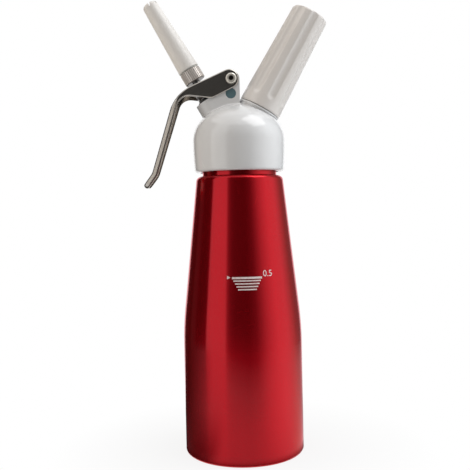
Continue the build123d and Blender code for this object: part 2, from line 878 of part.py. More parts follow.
# The brass insert that holds the pin. Gas comes down the pin and through the vents under it.
with BuildPart() as port_insert:
    pin_foot = insert_foot + insert_length / 3
    with BuildSketch(port_section):
        band(0, insert_radius, insert_foot + insert_setback, port_seal_foot)
        band(0, pin_radius + fitted_clearance, pin_foot, port_seal_foot, mode=Mode.SUBTRACT)
        band(0, pin_radius / 2, insert_foot + insert_setback, pin_foot, mode=Mode.SUBTRACT)
    revolve(axis=port_axis)
finish(port_insert, "port_insert")

with BuildPart() as piercing_pin:
    pin_top = charger_foot + pin_reach
    with BuildSketch(port_section):
        with BuildLine():
            Polyline(
                (pin_bore_radius, pin_foot),
                (pin_radius, pin_foot),
                (pin_radius, pin_top - 2 * pin_radius),
                (pin_bore_radius, pin_top),
                close=True,
            )
        make_face()
    revolve(axis=port_axis)
finish(piercing_pin, "piercing_pin")

with BuildPart() as charger_seal:
    with BuildSketch(port_section):
        band(
            pin_radius + 3 * seat_gap,
            port_bore_radius - seat_gap,
            port_seal_foot,
            port_seal_foot + seal_thickness,
        )
    revolve(axis=port_axis)
finish(charger_seal, "charger_seal")

# A rubber mushroom valve: its cap covers the vents and its stem is held in the middle hole.
with BuildPart() as check_valve:
    with BuildSketch(port_section):
        with BuildLine():
            cap_foot = port_tube_end - check_valve_thickness
            Line((0, cap_foot), (check_valve_radius, port_tube_end - check_valve_thickness / 2))
            Line(
                (check_valve_radius, port_tube_end - check_valve_thickness / 2),
                (check_valve_radius, port_tube_end),
            )
            Line((check_valve_radius, port_tube_end), (0, port_tube_end))
            Line((0, port_tube_end), (0, cap_foot))
        make_face()
        band(0, check_valve_stem_radius, port_tube_end, insert_foot)
    revolve(axis=port_axis)
finish(check_valve, "check_valve")

# ---- charger and holder --------------------------------------------------------------------

with BuildPart() as gas_charger:
    neck_end = charger_foot + charger_neck_length
    shoulder_end = neck_end + charger_shoulder
    round_start = charger_top - charger_end_rise
    with BuildSketch(port_section):
        with BuildLine():
            Polyline(
                (0, charger_foot),
                (charger_neck_radius, charger_foot),
                (charger_neck_radius, neck_end),
                (charger_radius, shoulder_end),
                (charger_radius, round_start),
            )
            dome_arcs(round_start, charger_radius, charger_end_rise, charger_end_corner)
            Line((0, charger_top), (0, charger_foot))
        make_face()
        fillet(nearest((charger_neck_radius, charger_foot)), charger_mouth_rounding)
        fillet(nearest((charger_neck_radius, neck_end)), charger_neck_radius)
        fillet(nearest((charger_radius, shoulder_end)), charger_radius * 0.8)
    revolve(axis=port_axis)
    with BuildSketch(port_section):
        with BuildLine():
            inside = charger_radius - charger_wall
            neck_inside = charger_neck_radius - charger_wall
            Polyline(
                (0, charger_foot + charger_wall),
                (neck_inside, charger_foot + charger_wall),
                (neck_inside, neck_end),
                (inside, shoulder_end + charger_wall),
                (inside, round_start),
            )
            dome_arcs(
                round_start,
                inside,
                charger_end_rise - charger_wall,
                charger_end_corner - charger_wall,
            )
            Line((0, charger_top - charger_wall), (0, charger_foot + charger_wall))
        make_face()
        fillet(nearest((neck_inside, neck_end)), charger_neck_radius)
        fillet(nearest((inside, shoulder_end + charger_wall)), charger_radius * 0.8)
        band(0, pierced_radius, charger_foot, charger_foot + charger_wall + overcut)
    revolve(axis=port_axis, mode=Mode.SUBTRACT)
finish(gas_charger, "gas_charger")

# One flute's cutter, drawn upright: a round bar with a ball at its lower end, along the taper.
taper = (holder_foot_radius - holder_top_radius) / holder_length
flute_rise = flute_start + sqrt(2 * flute_radius * flute_depth)
flute_place = (
    holder_foot_radius - taper * flute_rise + flute_radius - flute_depth,
    0,
    holder_foot + flute_rise,
)
with BuildPart() as flute_cutter:
    with BuildSketch(Plane(origin=flute_place, x_dir=(0, 1, 0), z_dir=(-taper, 0, 1))):
        Circle(flute_radius)
    extrude(amount=holder_length)
    with Locations(flute_place):
        Sphere(flute_radius)

with BuildPart() as charger_holder:
    thread_top = spigot_top + moving_clearance
    bore = charger_radius + moving_clearance
    with BuildSketch(port_section):
        with BuildLine():
            Polyline(
                (0, holder_foot),
                (holder_foot_radius, holder_foot),
                (holder_top_radius, holder_top),
                (0, holder_top),
                close=True,
            )
        make_face()
        fillet(nearest((holder_foot_radius, holder_foot)), holder_edge)
        fillet(nearest((holder_top_radius, holder_top)), holder_edge)
        band(0, holder_thread_radius, holder_foot, thread_top, mode=Mode.SUBTRACT)
        band(0, bore, thread_top, holder_top - holder_top_wall, mode=Mode.SUBTRACT)
        thread_rings(
            holder_thread_radius,
            spigot_radius + thread_clearance,
            holder_foot + holder_pitch / 2,
            thread_top - holder_pitch / 2,
            holder_pitch,
        )
    revolve(axis=port_axis)
    with Locations(Location(square_to(port_height, port_lean, 0))):
        with PolarLocations(0, flute_count, start_angle=flute_turn):
            add(flute_cutter.part, mode=Mode.SUBTRACT)
finish(charger_holder, "charger_holder")
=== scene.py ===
import json
from math import ceil, cos, pi, radians, sin, tan

import bmesh
import bpy
from mathutils import Matrix, Vector


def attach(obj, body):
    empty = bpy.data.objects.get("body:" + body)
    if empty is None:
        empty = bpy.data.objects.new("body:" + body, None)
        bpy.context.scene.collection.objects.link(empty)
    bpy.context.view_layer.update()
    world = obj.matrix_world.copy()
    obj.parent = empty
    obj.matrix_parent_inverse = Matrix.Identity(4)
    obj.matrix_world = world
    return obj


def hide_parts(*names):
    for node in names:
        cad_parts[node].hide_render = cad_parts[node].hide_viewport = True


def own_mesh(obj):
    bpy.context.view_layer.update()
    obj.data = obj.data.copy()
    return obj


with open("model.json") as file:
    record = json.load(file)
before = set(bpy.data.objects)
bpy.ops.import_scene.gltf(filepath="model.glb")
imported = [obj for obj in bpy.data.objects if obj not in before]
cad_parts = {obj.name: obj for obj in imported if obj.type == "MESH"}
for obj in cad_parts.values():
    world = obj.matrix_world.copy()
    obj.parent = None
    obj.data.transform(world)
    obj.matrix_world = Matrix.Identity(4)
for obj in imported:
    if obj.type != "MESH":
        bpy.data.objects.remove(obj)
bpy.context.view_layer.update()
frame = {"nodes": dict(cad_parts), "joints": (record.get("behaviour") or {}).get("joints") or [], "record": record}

# The leaning axes of the valve and of the charger port, as the frame's joints have them.
jointOf = {joint["name"]: joint for joint in frame["joints"]}
valveAxis = -Vector(jointOf["valve_press"]["axis"]).normalized()
portAxis = Vector(jointOf["charger_slide"]["axis"]).normalized()
valveFoot = Vector(jointOf["nozzle_turn"]["pos_m"])
portFoot = Vector(jointOf["holder_turn"]["pos_m"])
pivotPlace = Vector(jointOf["lever_squeeze"]["pos_m"])


def spanOf(name, foot, axis):
    # How far a piece of the frame reaches along an axis: its lowest and highest point.
    along = [(corner.co - foot).dot(axis) for corner in frame["nodes"][name].data.vertices]
    return min(along), max(along)


# Building node trees

def put(tree, kind, values=None, **settings):
    # One node: its settings first, then its inputs, each a value or the socket that feeds it.
    made = tree.nodes.new(kind)
    for name, value in settings.items():
        setattr(made, name, value)
    for key, value in (values or {}).items():
        if isinstance(value, bpy.types.NodeSocket):
            tree.links.new(value, made.inputs[key])
        else:
            made.inputs[key].default_value = value
    return made


def maths(tree, operation, first, second=0.0, third=0.0):
    return put(tree, "ShaderNodeMath", {0: first, 1: second, 2: third}, operation=operation).outputs[0]


def split(tree, vector):
    return put(tree, "ShaderNodeSeparateXYZ", {0: vector}).outputs


def join(tree, x=0.0, y=0.0, z=0.0):
    return put(tree, "ShaderNodeCombineXYZ", {0: x, 1: y, 2: z}).outputs[0]


def lengthOf(tree, vector):
    return put(tree, "ShaderNodeVectorMath", {0: vector}, operation="LENGTH").outputs["Value"]


def newTree(name, kind, inputs, outputs):
    tree = bpy.data.node_groups.new(name, kind)
    for label, socketKind, value in inputs:
        made = tree.interface.new_socket(label, in_out="INPUT", socket_type=socketKind)
        if value is not None:
            made.default_value = value
    for label, socketKind in outputs:
        tree.interface.new_socket(label, in_out="OUTPUT", socket_type=socketKind)
    return tree, tree.nodes.new("NodeGroupInput").outputs, tree.nodes.new("NodeGroupOutput").inputs


def mixColor(tree, factor, first, second):
    made = tree.nodes.new("ShaderNodeMix")
    made.data_type = "RGBA"
    for index, value in ((0, factor), (6, first), (7, second)):
        if isinstance(value, bpy.types.NodeSocket):
            tree.links.new(value, made.inputs[index])
        else:
            made.inputs[index].default_value = value
    return made.outputs[2]


def remap(tree, value, fromLow, fromHigh, toLow, toHigh):
    return put(tree, "ShaderNodeMapRange", {
        "Value": value, "From Min": fromLow, "From Max": fromHigh, "To Min": toLow, "To Max": toHigh,
    }).outputs[0]


def emptyMaterial(name):
    made = bpy.data.materials.new(name)
    made.use_nodes = True
    made.node_tree.nodes.clear()
    return made, made.node_tree


# Effects that the materials share

wear = {
    "scratchBendScale": 25.0, "scratchBend": 0.012, "scratchPatchScale": 90.0, "scratchPatches": (0.52, 0.6),
    "smudgeSpread": (0.35, 0.7), "smudgeDistortion": 0.4, "swellScale": 60.0, "swellShare": 0.6,
}


def makeScratches():
    # Fine handling scratches: thin cells' edges, bent and broken up by noise.
    tree, given, out = newTree("handlingScratches", "ShaderNodeTree", [
        ("Vector", "NodeSocketVector", None),
        ("Scale", "NodeSocketFloat", 60.0),
        ("Width", "NodeSocketFloat", 0.02),
    ], [("Mask", "NodeSocketFloat")])
    warp = put(tree, "ShaderNodeTexNoise", {
        "Vector": given["Vector"], "Scale": wear["scratchBendScale"], "Detail": 2.0,
    })
    bent = put(tree, "ShaderNodeVectorMath", {
        0: warp.outputs["Color"], 3: wear["scratchBend"],
    }, operation="SCALE")
    moved = put(tree, "ShaderNodeVectorMath", {0: given["Vector"], 1: bent.outputs[0]}, operation="ADD")
    cells = put(tree, "ShaderNodeTexVoronoi", {
        "Vector": moved.outputs[0], "Scale": given["Scale"],
    }, feature="DISTANCE_TO_EDGE")
    thin = remap(tree, cells.outputs["Distance"], 0.0, given["Width"], 1.0, 0.0)
    patches = put(tree, "ShaderNodeTexNoise", {
        "Vector": given["Vector"], "Scale": wear["scratchPatchScale"], "Detail": 3.0,
    })
    broken = remap(tree, patches.outputs["Fac"], *wear["scratchPatches"], 0.0, 1.0)
    tree.links.new(maths(tree, "MULTIPLY", thin, broken), out["Mask"])
    return tree


def makeSmudges():
    # Broad, soft changes of gloss, as hands and wiping leave.
    tree, given, out = newTree("wipedSmudges", "ShaderNodeTree", [
        ("Vector", "NodeSocketVector", None),
        ("Scale", "NodeSocketFloat", 22.0),
    ], [("Mask", "NodeSocketFloat")])
    broad = put(tree, "ShaderNodeTexNoise", {
        "Vector": given["Vector"], "Scale": given["Scale"], "Detail": 4.0, "Roughness": 0.6,
        "Distortion": wear["smudgeDistortion"],
    })
    tree.links.new(remap(tree, broad.outputs["Fac"], *wear["smudgeSpread"], 0.0, 1.0), out["Mask"])
    return tree


def makeTurning():
    # Fine lines round an upright axis, as turning and polishing leave.
    tree, given, out = newTree("turningLines", "ShaderNodeTree", [
        ("Vector", "NodeSocketVector", None),
        ("Across", "NodeSocketFloat", 3000.0),
        ("Around", "NodeSocketFloat", 3.0),
    ], [("Lines", "NodeSocketFloat")])
    place = split(tree, given["Vector"])
    angle = maths(tree, "ARCTAN2", place["Y"], place["X"])
    turned = join(tree, maths(tree, "MULTIPLY", maths(tree, "COSINE", angle), given["Around"]),
                  maths(tree, "MULTIPLY", maths(tree, "SINE", angle), given["Around"]),
                  maths(tree, "MULTIPLY", place["Z"], given["Across"]))
    lines = put(tree, "ShaderNodeTexNoise", {"Vector": turned, "Scale": 1.0, "Detail": 3.0})
    tree.links.new(lines.outputs["Fac"], out["Lines"])
    return tree


def makeGrain():
    # The fine skin of moulded plastic.
    tree, given, out = newTree("mouldedGrain", "ShaderNodeTree", [
        ("Vector", "NodeSocketVector", None),
        ("Scale", "NodeSocketFloat", 1500.0),
    ], [("Height", "NodeSocketFloat")])
    fine = put(tree, "ShaderNodeTexNoise", {
        "Vector": given["Vector"], "Scale": given["Scale"], "Detail": 2.0,
    })
    swell = put(tree, "ShaderNodeTexNoise", {
        "Vector": given["Vector"], "Scale": wear["swellScale"], "Detail": 1.0,
    })
    both = maths(tree, "MULTIPLY_ADD", swell.outputs["Fac"], wear["swellShare"], fine.outputs["Fac"])
    tree.links.new(both, out["Height"])
    return tree


scratches = makeScratches()
smudges = makeSmudges()
turning = makeTurning()
grain = makeGrain()


def effect(tree, group, values):
    return put(tree, "ShaderNodeGroup", values, node_tree=group).outputs[0]


def startMaterial(name, values):
    made, tree = emptyMaterial(name)
    shader = put(tree, "ShaderNodeBsdfPrincipled", values)
    put(tree, "ShaderNodeOutputMaterial", {"Surface": shader.outputs[0]})
    place = put(tree, "ShaderNodeTexCoord").outputs["Object"]
    return made, tree, shader, place


def feed(tree, shader, **sockets):
    names = {"color": "Base Color", "roughness": "Roughness", "normal": "Normal"}
    for key, socket in sockets.items():
        tree.links.new(socket, shader.inputs[names[key]])


def bump(tree, height, distance, strength=1.0):
    return put(tree, "ShaderNodeBump", {
        "Height": height, "Distance": distance, "Strength": strength,
    }).outputs[0]


def alongAxis(tree, place, foot, axis):
    # Coordinates with their Z along a leaning axis, so that lines can run round it.
    lean = Vector((0, 0, 1)).rotation_difference(axis).to_euler()
    return put(tree, "ShaderNodeMapping", {
        "Vector": place, "Location": foot, "Rotation": lean,
    }, vector_type="TEXTURE").outputs[0]


# Materials

lacquer = {
    "color": (0.57, 0.003, 0.012, 1), "dark": (0.47, 0.002, 0.008, 1), "edge": (1, 0.35, 0.4, 1),
    "metallic": 0.84, "roughness": (0.21, 0.26), "anisotropic": 0.9, "blurTurn": 0.25,
    "coatWeight": 0.55, "coatRoughness": 0.05, "coatIor": 1.4,
    "lines": {"Across": 2600.0, "Around": 2.0}, "lineShare": 0.5, "lineBump": 0.000002,
    "smudges": {"Scale": 18.0}, "smudgeShare": 0.3,
    "scratches": {"Scale": 45.0, "Width": 0.006}, "scratchRoughness": 0.05,
}


def makeLacquer():
    # Bright turned aluminium under a clear red lacquer; its lines blur reflections up and down.
    made, tree, shader, place = startMaterial("redLacquer", {
        "Metallic": lacquer["metallic"], "Specular Tint": lacquer["edge"],
        "Anisotropic": lacquer["anisotropic"], "Anisotropic Rotation": lacquer["blurTurn"],
        "Coat Weight": lacquer["coatWeight"], "Coat Roughness": lacquer["coatRoughness"],
        "Coat IOR": lacquer["coatIor"],
    })
    lines = effect(tree, turning, {"Vector": place, **lacquer["lines"]})
    broad = effect(tree, smudges, {"Vector": place, **lacquer["smudges"]})
    marks = effect(tree, scratches, {"Vector": place, **lacquer["scratches"]})
    tone = maths(tree, "MULTIPLY_ADD", lines, lacquer["lineShare"],
                 maths(tree, "MULTIPLY", broad, lacquer["smudgeShare"]))
    gloss = maths(tree, "MULTIPLY_ADD", marks, lacquer["scratchRoughness"],
                  remap(tree, lines, 0.3, 0.7, *lacquer["roughness"]))
    feed(tree, shader, color=mixColor(tree, tone, lacquer["color"], lacquer["dark"]), roughness=gloss,
         normal=bump(tree, lines, lacquer["lineBump"]))
    return made


plastic = {
    "grain": {"Scale": 1800.0}, "grainBump": 0.000004, "smudges": {"Scale": 30.0},
    "scratches": {"Scale": 70.0, "Width": 0.01}, "scratchRoughness": 0.2,
}


def makePlastic(name, color, shade, roughness, values):
    # Moulded plastic: an even colour with a faint drift, a fine skin and a few scuffs.
    made, tree, shader, place = startMaterial(name, values)
    skin = effect(tree, grain, {"Vector": place, **plastic["grain"]})
    broad = effect(tree, smudges, {"Vector": place, **plastic["smudges"]})
    marks = effect(tree, scratches, {"Vector": place, **plastic["scratches"]})
    gloss = maths(tree, "MULTIPLY_ADD", marks, plastic["scratchRoughness"],
                  remap(tree, broad, 0.0, 1.0, *roughness))
    feed(tree, shader, color=mixColor(tree, broad, color, shade), roughness=gloss,
         normal=bump(tree, skin, plastic["grainBump"]))
    return made


polished = {
    "smudges": {"Scale": 35.0}, "scratches": {"Scale": 80.0, "Width": 0.012}, "scratchRoughness": 0.18,
    "lineShare": 0.5, "smudgeShare": 0.4, "lineBump": 0.000002,
}


def makePolished(name, color, shade, roughness, lean, across=2500.0, around=4.0, metallic=1.0,
                 satin=None, recessShade=None):
    # Polished or turned metal: lines round its own axis, smudges and handling scratches.
    made, tree, shader, spot = startMaterial(name, {"Metallic": metallic})
    place = alongAxis(tree, spot, *lean)
    lines = effect(tree, turning, {"Vector": place, "Across": across, "Around": around})
    broad = effect(tree, smudges, {"Vector": place, **polished["smudges"]})
    marks = effect(tree, scratches, {"Vector": place, **polished["scratches"]})
    tone = maths(tree, "MULTIPLY_ADD", lines, polished["lineShare"],
                 maths(tree, "MULTIPLY", broad, polished["smudgeShare"]))
    gloss = maths(tree, "MULTIPLY_ADD", marks, polished["scratchRoughness"],
                  remap(tree, tone, 0.2, 0.7, *roughness))
    shown = mixColor(tree, tone, color, shade)
    if recessShade:
        # Darker inside a radius round the axis, where grooves and a socket hold their shade.
        parts = split(tree, place)
        reach = lengthOf(tree, join(tree, parts["X"], parts["Y"]))
        shown = mixColor(tree, remap(tree, reach, *recessShade["radius"], 1.0, 0.0), shown, recessShade["color"])
    if satin:
        # Beyond a line across the piece its flat sides have a pale satin band; the dark strips beside it are a
        # painted reflection of dark surroundings.
        facing = put(tree, "ShaderNodeTexCoord").outputs["Normal"]
        side = maths(tree, "ABSOLUTE", split(tree, facing)["Y"])
        along = remap(tree, split(tree, spot)["X"], *satin["along"], 0.0, 1.0)
        depths = []
        for point, inward in satin["lines"]:
            off = put(tree, "ShaderNodeVectorMath", {0: spot, 1: point}, operation="SUBTRACT").outputs[0]
            inside = put(tree, "ShaderNodeVectorMath", {0: off, 1: inward}, operation="DOT_PRODUCT")
            depths.append(inside.outputs["Value"])
        depth = maths(tree, "MAXIMUM", *depths)
        band = maths(tree, "MULTIPLY", remap(tree, depth, *satin["bandStart"], 0.0, 1.0),
                     remap(tree, depth, *satin["bandEnd"], 1.0, 0.0))
        paintedDarkEdges = maths(tree, "SUBTRACT", 1.0, band)
        pale = maths(tree, "MULTIPLY", maths(tree, "MULTIPLY", along, band),
                     remap(tree, side, *satin["flat"], 0.0, 1.0))
        # Painted reflection: the dark strips beside the band stand for the dark surroundings that polished edges
        # reflect.
        dark = maths(tree, "MULTIPLY", maths(tree, "MULTIPLY", along, paintedDarkEdges),
                     remap(tree, side, *satin["sideways"], 0.0, 1.0))
        gloss = maths(tree, "MULTIPLY_ADD", pale, satin["rougher"], gloss)
        shown = mixColor(tree, pale, mixColor(tree, dark, shown, satin["paintedReflectionColor"]), satin["color"])
        tree.links.new(remap(tree, pale, 0.0, 1.0, metallic, satin["metallic"]), shader.inputs["Metallic"])
    feed(tree, shader, color=shown, roughness=gloss, normal=bump(tree, lines, polished["lineBump"]))
    return made


rubber = {
    "specular": 0.35, "roughness": (0.5, 0.7), "grain": {"Scale": 2500.0}, "grainBump": 0.00001,
    "smudges": {"Scale": 60.0},
}


def makeRubber(name, color, shade):
    made, tree, shader, place = startMaterial(name, {"Specular IOR Level": rubber["specular"]})
    skin = effect(tree, grain, {"Vector": place, **rubber["grain"]})
    broad = effect(tree, smudges, {"Vector": place, **rubber["smudges"]})
    feed(tree, shader, color=mixColor(tree, broad, color, shade),
         roughness=remap(tree, broad, 0.0, 1.0, *rubber["roughness"]),
         normal=bump(tree, skin, rubber["grainBump"]))
    return made


ink = {
    "color": (0.82, 0.78, 0.77, 1), "worn": (0.72, 0.52, 0.5, 1), "roughness": (0.35, 0.5),
    "coatWeight": 0.2, "wearScale": 900.0, "wearFrom": (0.45, 0.75),
}


def makeInk():
    # Screen-printed white ink, thin enough for a little of the lacquer to show through.
    made, tree, shader, place = startMaterial("markInk", {"Coat Weight": ink["coatWeight"]})
    worn = put(tree, "ShaderNodeTexNoise", {
        "Vector": place, "Scale": ink["wearScale"], "Detail": 3.0,
    }).outputs["Fac"]
    thin = remap(tree, worn, *ink["wearFrom"], 0.0, 1.0)
    feed(tree, shader, color=mixColor(tree, thin, ink["color"], ink["worn"]),
         roughness=remap(tree, worn, 0.3, 0.7, *ink["roughness"]))
    return made


turnedValve = (valveFoot, valveAxis)
turnedPort = (portFoot, portAxis)
acrossPivot = (pivotPlace, Vector((0, -1, 0)))
# A satin band on the handle's flat sides, with painted dark reflection strips beside it.
satinSides = {
    # The handle's outer line and its flare's, each a point on it and the way in from it.
    "lines": (((-0.04173, 0, 0.24067), (0.953, 0, -0.302)), ((-0.05836, 0, 0.18824), (0.797, 0, -0.603))),
    "bandStart": (0.0006, 0.0011), "bandEnd": (0.0024, 0.0031), "along": (-0.034, -0.044),
    "flat": (0.93, 0.99), "sideways": (0.15, 0.35), "rougher": 0.34, "metallic": 0.3,
    "color": (0.92, 0.85, 0.76, 1), "paintedReflectionColor": (0.17, 0.145, 0.125, 1),
}
# Painted shade: a darker colour in the pivot screw's socket and in the ring's grooves.
socketShade = {"radius": (0.0014, 0.0019), "color": (0.06, 0.05, 0.04, 1)}
grooveShade = {"radius": (0.0069, 0.00704), "color": (0.13, 0.11, 0.10, 1)}
finishes = {
    "red_lacquer": makeLacquer(),
    "white_plastic": makePlastic("whitePlastic", (0.80, 0.80, 0.81, 1), (0.77, 0.77, 0.78, 1),
                                 (0.14, 0.2), {"Coat Weight": 0.8, "Coat Roughness": 0.04}),
    "nozzle_plastic": makePlastic("nozzlePlastic", (0.86, 0.83, 0.80, 1), (0.82, 0.79, 0.76, 1),
                                  (0.32, 0.42), {}),
    "holder_plastic": makePlastic("holderPlastic", (0.83, 0.79, 0.76, 1), (0.78, 0.74, 0.71, 1),
                                  (0.2, 0.3), {"Coat Weight": 0.4, "Coat Roughness": 0.08,
                                               "Subsurface Weight": 0.2,
                                               "Subsurface Radius": (0.004, 0.004, 0.004)}),
    "plug_plastic": makePlastic("plugPlastic", (0.115, 0.2, 0.225, 1), (0.09, 0.165, 0.19, 1),
                                (0.4, 0.5), {}),
    "bush_plastic": makePlastic("bushPlastic", (0.02, 0.02, 0.022, 1), (0.03, 0.03, 0.03, 1),
                                (0.35, 0.5), {}),
    "lever_steel": makePolished("leverSteel", (0.62, 0.58, 0.53, 1), (0.5, 0.47, 0.43, 1),
                                (0.07, 0.14), acrossPivot, 900.0, 30.0, 0.95, satinSides),
    "pivot_steel": makePolished("pivotSteel", (0.86, 0.82, 0.74, 1), (0.74, 0.70, 0.63, 1),
                                (0.2, 0.3), acrossPivot, metallic=0.5, recessShade=socketShade),
    "stem_steel": makePolished("stemSteel", (0.30, 0.29, 0.28, 1), (0.2, 0.2, 0.2, 1),
                               (0.18, 0.3), turnedValve),
    "spring_steel": makePolished("springSteel", (0.25, 0.24, 0.23, 1), (0.12, 0.12, 0.12, 1),
                                 (0.2, 0.34), turnedValve),
    "ring_metal": makePolished("ringMetal", (0.88, 0.82, 0.77, 1), (0.74, 0.68, 0.64, 1),
                               (0.2, 0.3), turnedValve, metallic=0.4, recessShade=grooveShade),
    "port_brass": makePolished("portBrass", (0.72, 0.52, 0.24, 1), (0.55, 0.38, 0.16, 1),
                               (0.18, 0.3), turnedPort),
    "charger_steel": makePolished("chargerSteel", (0.60, 0.61, 0.63, 1), (0.48, 0.49, 0.5, 1),
                                  (0.2, 0.32), turnedPort),
    "seal_rubber": makeRubber("sealRubber", (0.012, 0.012, 0.013, 1), (0.03, 0.03, 0.03, 1)),
    "gasket_rubber": makeRubber("gasketRubber", (0.6, 0.6, 0.57, 1), (0.5, 0.5, 0.47, 1)),
}
markInk = makeInk()
print("materials made:", len(finishes) + 1)


# The frame's own pieces

slotOf = {entry["node"]: entry["material_slot"] for entry in frame["record"]["subparts"]}
slotOf["nozzle_washer"] = "gasket_rubber"  # the washer under the nozzle is pale, unlike the other seals
for name, node in frame["nodes"].items():
    node.data.materials.clear()
    node.data.materials.append(finishes[slotOf[name]])
print("frame pieces finished:", len(frame["nodes"]))


# Making meshes

def addPiece(name, mesh, material=None):
    made = bpy.data.objects.new(name, mesh)
    if material:
        mesh.materials.append(material)
    bpy.context.scene.collection.objects.link(made)
    return made


def shapeByNodes(piece, tree, values):
    # Run a node tree on a piece and keep the result as its plain mesh.
    shaping = piece.modifiers.new("shaping", "NODES")
    shaping.node_group = tree
    for item in tree.interface.items_tree:
        if item.in_out == "INPUT" and item.name in values:
            shaping[item.identifier] = values[item.name]
    bpy.context.view_layer.update()
    evaluated = piece.evaluated_get(bpy.context.evaluated_depsgraph_get())
    shaped = bpy.data.meshes.new_from_object(evaluated)
    piece.modifiers.remove(shaping)
    piece.data = shaped


def endTree(tree, shape, material, out):
    real = put(tree, "GeometryNodeRealizeInstances", {"Geometry": shape}).outputs[0]
    done = put(tree, "GeometryNodeSetMaterial", {"Geometry": real, "Material": material}).outputs[0]
    tree.links.new(done, out["Geometry"])


def standAlong(piece, foot, axis):
    # Turn an upright mesh to a leaning axis, in its own points.
    turn = Vector((0, 0, 1)).rotation_difference(axis).to_matrix().to_4x4()
    piece.data.transform(Matrix.Translation(foot) @ turn)


def softProfile(corners, steps=6):
    # A half-outline of (radius, height, rounding) corners, with an arc at each rounded one.
    line = []
    for index, (radius, height, rounding) in enumerate(corners):
        here = Vector((radius, height))
        if not rounding:
            line.append(here)
            continue
        toBefore = (Vector(corners[index - 1][:2]) - here).normalized()
        toAfter = (Vector(corners[index + 1][:2]) - here).normalized()
        half = toBefore.angle(toAfter) / 2
        middle = here + (toBefore + toAfter).normalized() * rounding / sin(half)
        start = here + toBefore * rounding / tan(half) - middle
        end = here + toAfter * rounding / tan(half) - middle
        for step in range(steps + 1):
            line.append(middle + start.lerp(end, step / steps).normalized() * rounding)
    return line


def divided(line, longest):
    # The same half-outline with its long stretches cut into short ones.
    points = [line[0]]
    for before, after in zip(line, line[1:]):
        parts = max(1, ceil((after - before).length / longest))
        points += [before.lerp(after, part / parts) for part in range(1, parts + 1)]
    return points


def turnedMesh(name, line, rounds, sharpAngle=radians(35)):
    # A mesh turned round the upright axis from a half-outline; points on the axis close it.
    work = bmesh.new()
    rings = []
    for radius, height in line:
        if radius < 1e-7:
            rings.append([work.verts.new((0, 0, height))])
            continue
        angles = [2 * pi * step / rounds for step in range(rounds)]
        rings.append([work.verts.new((radius * cos(angle), radius * sin(angle), height)) for angle in angles])
    for low, high in zip(rings, rings[1:]):
        for turn in range(rounds):
            after = (turn + 1) % rounds
            corners = [low[turn % len(low)], low[after % len(low)], high[after % len(high)],
                       high[turn % len(high)]]
            work.faces.new(list(dict.fromkeys(corners)))
    bmesh.ops.recalc_face_normals(work, faces=work.faces)
    mesh = bpy.data.meshes.new(name)
    work.to_mesh(mesh)
    work.free()
    mesh.shade_smooth()
    mesh.set_sharp_from_angle(angle=sharpAngle)
    return mesh


# The charger holder: a taper with soft flutes, each ending in a round scoop above the foot

holder = {
    "footRadius": 0.0146, "topRadius": 0.0126, "edge": 0.0011, "topEdge": 0.0014,
    "boreRadius": 0.0093, "threadRadius": 0.0112, "threadLength": 0.0122, "topWall": 0.0026,
    "flutes": 8, "fluteRadius": 0.006, "fluteDepth": 0.0009, "fluteStart": 0.0070,
    "fluteTurn": radians(14), "softness": 0.0006, "rounds": 192, "rowHeight": 0.0008,
}


def makeFluting():
    # Pulls a turned piece in to its flutes, blended smoothly with the taper between them.
    tree, given, out = newTree("holderFluting", "GeometryNodeTree", [
        ("Geometry", "NodeSocketGeometry", None),
        ("Count", "NodeSocketInt", 8),
        ("Turn", "NodeSocketFloat", 0.0),
        ("Flute Radius", "NodeSocketFloat", 0.006),
        ("Depth", "NodeSocketFloat", 0.001),
        ("Foot Radius", "NodeSocketFloat", 0.0146),
        ("Taper", "NodeSocketFloat", 0.03),
        ("Start", "NodeSocketFloat", 0.01),
        ("Softness", "NodeSocketFloat", 0.0004),
        ("Material", "NodeSocketMaterial", None),
    ], [("Geometry", "NodeSocketGeometry")])
    tree.is_modifier = True
    place = split(tree, put(tree, "GeometryNodeInputPosition").outputs[0])
    reach = lengthOf(tree, join(tree, place["X"], place["Y"]))
    front = maths(tree, "MULTIPLY", place["Y"], -1.0)
    angle = maths(tree, "SUBTRACT", maths(tree, "ARCTAN2", place["X"], front), given["Turn"])
    share = maths(tree, "DIVIDE", 2 * pi, given["Count"])
    half = maths(tree, "DIVIDE", share, 2.0)
    within = maths(tree, "FLOORED_MODULO", maths(tree, "ADD", angle, half), share)
    toFlute = maths(tree, "SUBTRACT", within, half)
    height = maths(tree, "MAXIMUM", place["Z"], given["Start"])
    below = maths(tree, "SUBTRACT", height, place["Z"])
    fall = maths(tree, "MULTIPLY", height, given["Taper"])
    taperRadius = maths(tree, "SUBTRACT", given["Foot Radius"], fall)
    middle = maths(tree, "ADD", taperRadius, maths(tree, "SUBTRACT", given["Flute Radius"], given["Depth"]))
    aside = maths(tree, "MULTIPLY", middle, maths(tree, "SINE", toFlute))
    ahead = maths(tree, "MULTIPLY", middle, maths(tree, "COSINE", toFlute))
    square = maths(tree, "MULTIPLY", given["Flute Radius"], given["Flute Radius"])
    off = maths(tree, "ADD", maths(tree, "MULTIPLY", aside, aside), maths(tree, "MULTIPLY", below, below))
    depthHere = maths(tree, "SQRT", maths(tree, "MAXIMUM", maths(tree, "SUBTRACT", square, off), 0.0))
    floor = maths(tree, "SUBTRACT", ahead, depthHere)
    newReach = maths(tree, "SMOOTH_MIN", reach, floor, given["Softness"])
    scale = maths(tree, "DIVIDE", newReach, maths(tree, "MAXIMUM", reach, 1e-6))
    moved = join(tree, maths(tree, "MULTIPLY", place["X"], scale), maths(tree, "MULTIPLY", place["Y"], scale),
                 place["Z"])
    fluted = put(tree, "GeometryNodeSetPosition", {"Geometry": given["Geometry"], "Position": moved})
    endTree(tree, fluted.outputs[0], given["Material"], out)
    return tree


